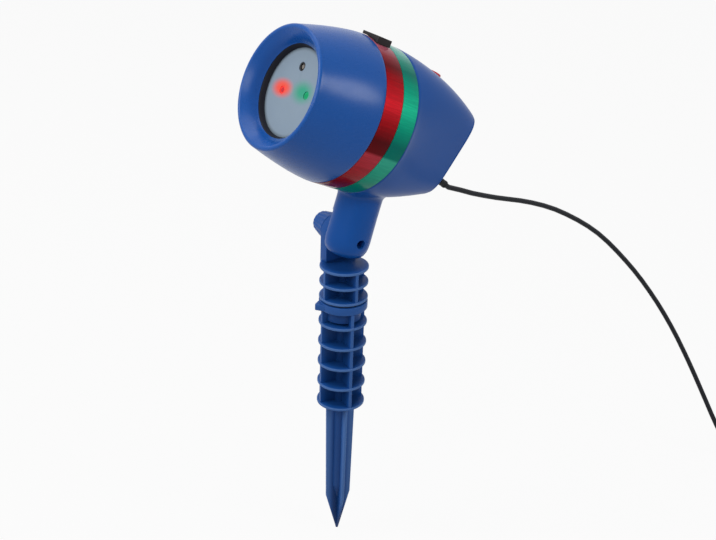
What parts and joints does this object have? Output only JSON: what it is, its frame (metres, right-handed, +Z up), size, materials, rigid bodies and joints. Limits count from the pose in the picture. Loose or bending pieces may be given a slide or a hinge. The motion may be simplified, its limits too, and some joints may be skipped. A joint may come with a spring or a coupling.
{
  "type": "laser star projector",
  "caption": "Two-colour laser star projector: round hooded head on a friction tilt joint over a swivelling ribbed ground stake with a spike, with its cord and plug-in adapter.",
  "frame": {"origin": "point of the spike at the foot of the ground stake", "axes": "+Z runs up the stake, the head looks towards -Y and 25 degrees up, +X is to the right of someone who faces the front of the head"},
  "size_m": [0.1892, 0.5366, 0.389],
  "materials": {
    "blue_case": "satin, fine moulded grain",
    "blue_stake": "satin",
    "red_gloss": "polished, slightly translucent",
    "green_gloss": "polished, slightly translucent",
    "grey_plate": "satin",
    "black_plastic": "fine grain",
    "black_rubber": "matt",
    "red_lens": "polished",
    "green_lens": "polished",
    "glass": "polished",
    "brass": "turned",
    "aluminium": "milled",
    "steel": "zinc plated",
    "board_green": "solder mask",
    "cell": "frosted"
  },
  "bodies": {
    "lower_stake": {"lower_stake": "blue_stake", "swivel_washer": "black_plastic"},
    "upper_stake": {"upper_stake": "blue_stake", "knob_washer": "steel", "cord_stretch": "black_rubber", "cord_coil": "black_rubber", "cord_tail": "black_rubber", "cord_tie": "black_rubber", "adapter_relief": "black_rubber", "adapter_body": "black_plastic", "adapter_blade_left": "steel", "adapter_blade_right": "steel"},
    "tilt_knob": {"tilt_knob": "blue_stake", "knob_stud": "steel"},
    "head": {"pivot_washer": "black_plastic", "pivot_nut": "steel", "front_housing": "blue_case", "window_gasket": "black_rubber", "aperture_plate": "grey_plate", "plate_retaining_ring": "black_plastic", "red_aperture_lens": "red_lens", "green_aperture_lens": "green_lens", "light_cell": "cell", "light_cell_bezel": "black_plastic", "laser_mount": "aluminium", "laser_mount_screw_1": "steel", "laser_mount_screw_2": "steel", "red_star_grating": "glass", "green_star_grating": "glass", "red_laser_module": "brass", "green_laser_module": "brass", "red_laser_lead": "black_rubber", "green_laser_lead": "black_rubber", "red_band": "red_gloss", "green_band": "green_gloss", "core_sleeve": "black_plastic", "front_seal_ring": "black_rubber", "rear_seal_ring": "black_rubber", "control_board": "board_green", "board_screw_1": "steel", "board_screw_2": "steel", "board_screw_3": "steel", "top_window": "black_plastic", "rear_housing": "blue_case", "rear_cover": "blue_case", "cover_screw_1": "steel", "cover_screw_2": "steel", "cover_screw_3": "steel", "cover_screw_4": "steel", "cord_strain_relief": "black_rubber", "mode_switch": "black_plastic", "inner_lead": "black_rubber"},
    "mode_button": {"mode_button": "red_gloss", "switch_plunger": "black_plastic"}
  },
  "joints": [
    {"name": "pan", "type": "hinge", "parent": "lower_stake", "child": "upper_stake", "pos_m": [0, 0, 0.1921], "axis": [0, 0, 1], "range_deg": [-90, 90]},
    {"name": "tilt", "type": "hinge", "parent": "upper_stake", "child": "head", "pos_m": [0, 0.0025, 0.23796], "axis": [1, 0, 0], "range_deg": [-65, 55], "deforming": ["cord_stretch"]},
    {"name": "knob_turn", "type": "hinge", "parent": "upper_stake", "child": "tilt_knob", "pos_m": [0, 0.0025, 0.23796], "axis": [-1, 0, 0], "range_deg": [-360, 360]},
    {"name": "button_press", "type": "slide", "parent": "head", "child": "mode_button", "axis": [0, -0.5461, -0.8377], "range_m": [0, 0.001], "stiffness_N_per_m": 600, "springref_m": -0.002}
  ]
}
